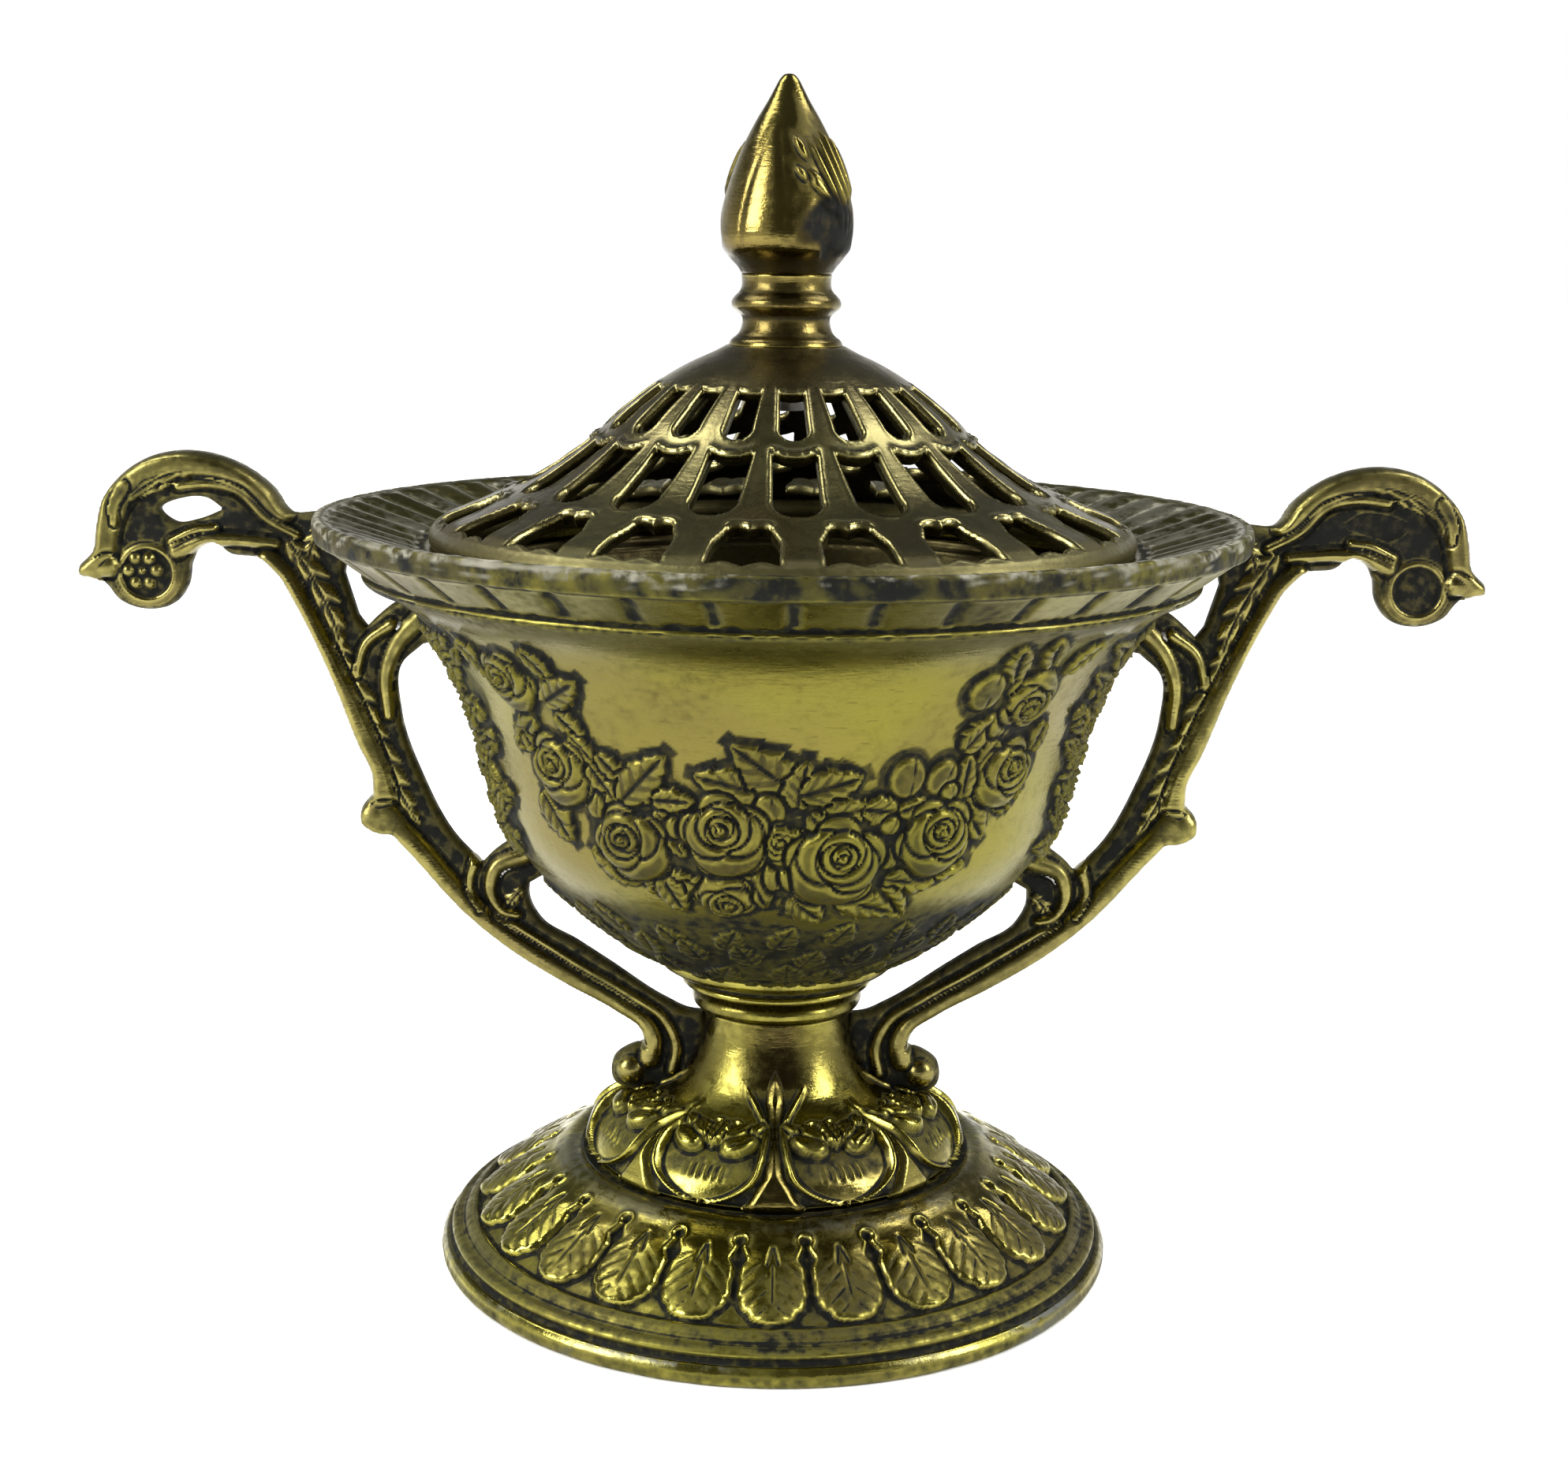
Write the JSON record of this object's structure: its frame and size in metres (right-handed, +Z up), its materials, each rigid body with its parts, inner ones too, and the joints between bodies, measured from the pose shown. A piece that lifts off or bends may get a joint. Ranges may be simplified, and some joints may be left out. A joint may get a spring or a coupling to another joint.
{
  "type": "footed incense censer",
  "caption": "Standing brass censer: footed bowl on a lobed pedestal with scroll handles, lift-out charcoal pan and pierced domed lid with a bud finial.",
  "frame": {"origin": "on the vertical axis, at the plane the foot stands on", "axes": "+Z up through the finial, handles along +X and -X, front at -Y"},
  "size_m": [0.1526, 0.1, 0.1289],
  "materials": {
    "brass_body": "aged cast brass, dark patina in the recesses",
    "brass_handle": "aged cast brass, dark patina in the recesses",
    "brass_lid": "polished brass, lightly tarnished",
    "brass_pan": "dull heat-stained brass",
    "hardware": "plain steel fasteners"
  },
  "bodies": {
    "vessel": {"foot_base": "brass_body", "pedestal": "brass_body", "neck_ring_lower": "brass_body", "neck_ring_upper": "brass_body", "bowl": "brass_body", "rim": "brass_body", "handle_left": "brass_handle", "handle_right": "brass_handle", "handle_rivets": "hardware", "clamp_disc": "hardware", "rod_washer_bottom": "hardware", "rod_nut_bottom": "hardware", "rod_washer_top": "hardware", "rod_nut_top": "hardware", "tie_rod": "hardware"},
    "pan": {"burner_pan": "brass_pan"},
    "lid": {"lid": "brass_lid", "finial_collar": "brass_lid", "finial": "brass_lid", "finial_stud": "hardware", "finial_washer": "hardware", "finial_nut": "hardware"}
  },
  "joints": [
    {"name": "lid_lift", "type": "slide", "parent": "vessel", "child": "lid", "axis": [0, 0, 1], "range_m": [0, 0.08]},
    {"name": "pan_lift", "type": "slide", "parent": "vessel", "child": "pan", "axis": [0, 0, 1], "range_m": [0, 0.04]}
  ],
  "couplings": [
    {"joint": "pan_lift", "follows": "lid_lift", "ratio": 0.5}
  ]
}
